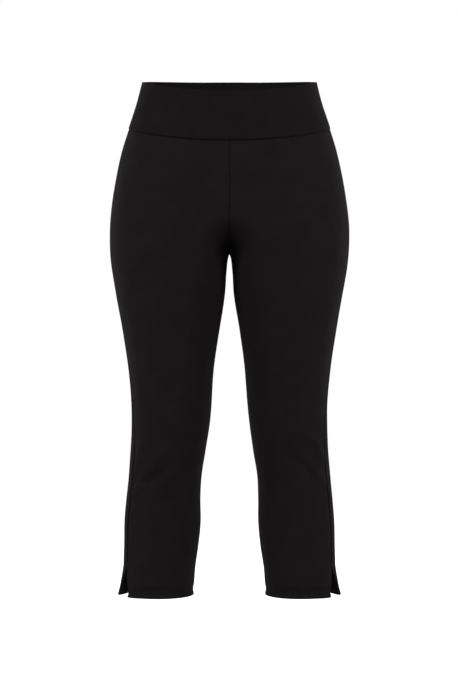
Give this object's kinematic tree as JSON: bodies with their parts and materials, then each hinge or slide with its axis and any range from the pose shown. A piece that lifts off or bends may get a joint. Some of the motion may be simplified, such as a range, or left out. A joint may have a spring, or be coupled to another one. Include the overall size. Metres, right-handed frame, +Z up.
{
  "type": "sports leggings",
  "caption": "Cropped pull-on leggings in worn form with no wearer: wide contoured waistband, front and back leg panels, and a vent at each outer hem. Waist and hems are open.",
  "frame": {"origin": "middle of the waistband, half-way up its sides, where the wearer's waist holds it", "axes": "+Z up along the body, the front looks to -Y, the wearer's left is +X"},
  "size_m": [0.3898, 0.2606, 0.8486],
  "materials": {
    "waistband_jersey": "matt black doubled stretch jersey",
    "leg_jersey": "matt black stretch jersey"
  },
  "bodies": {
    "root": {"waistband_front": "waistband_jersey", "waistband_back": "waistband_jersey", "front_left": "leg_jersey", "front_right": "leg_jersey", "back_left": "leg_jersey", "back_right": "leg_jersey"}
  },
  "joints": []
}
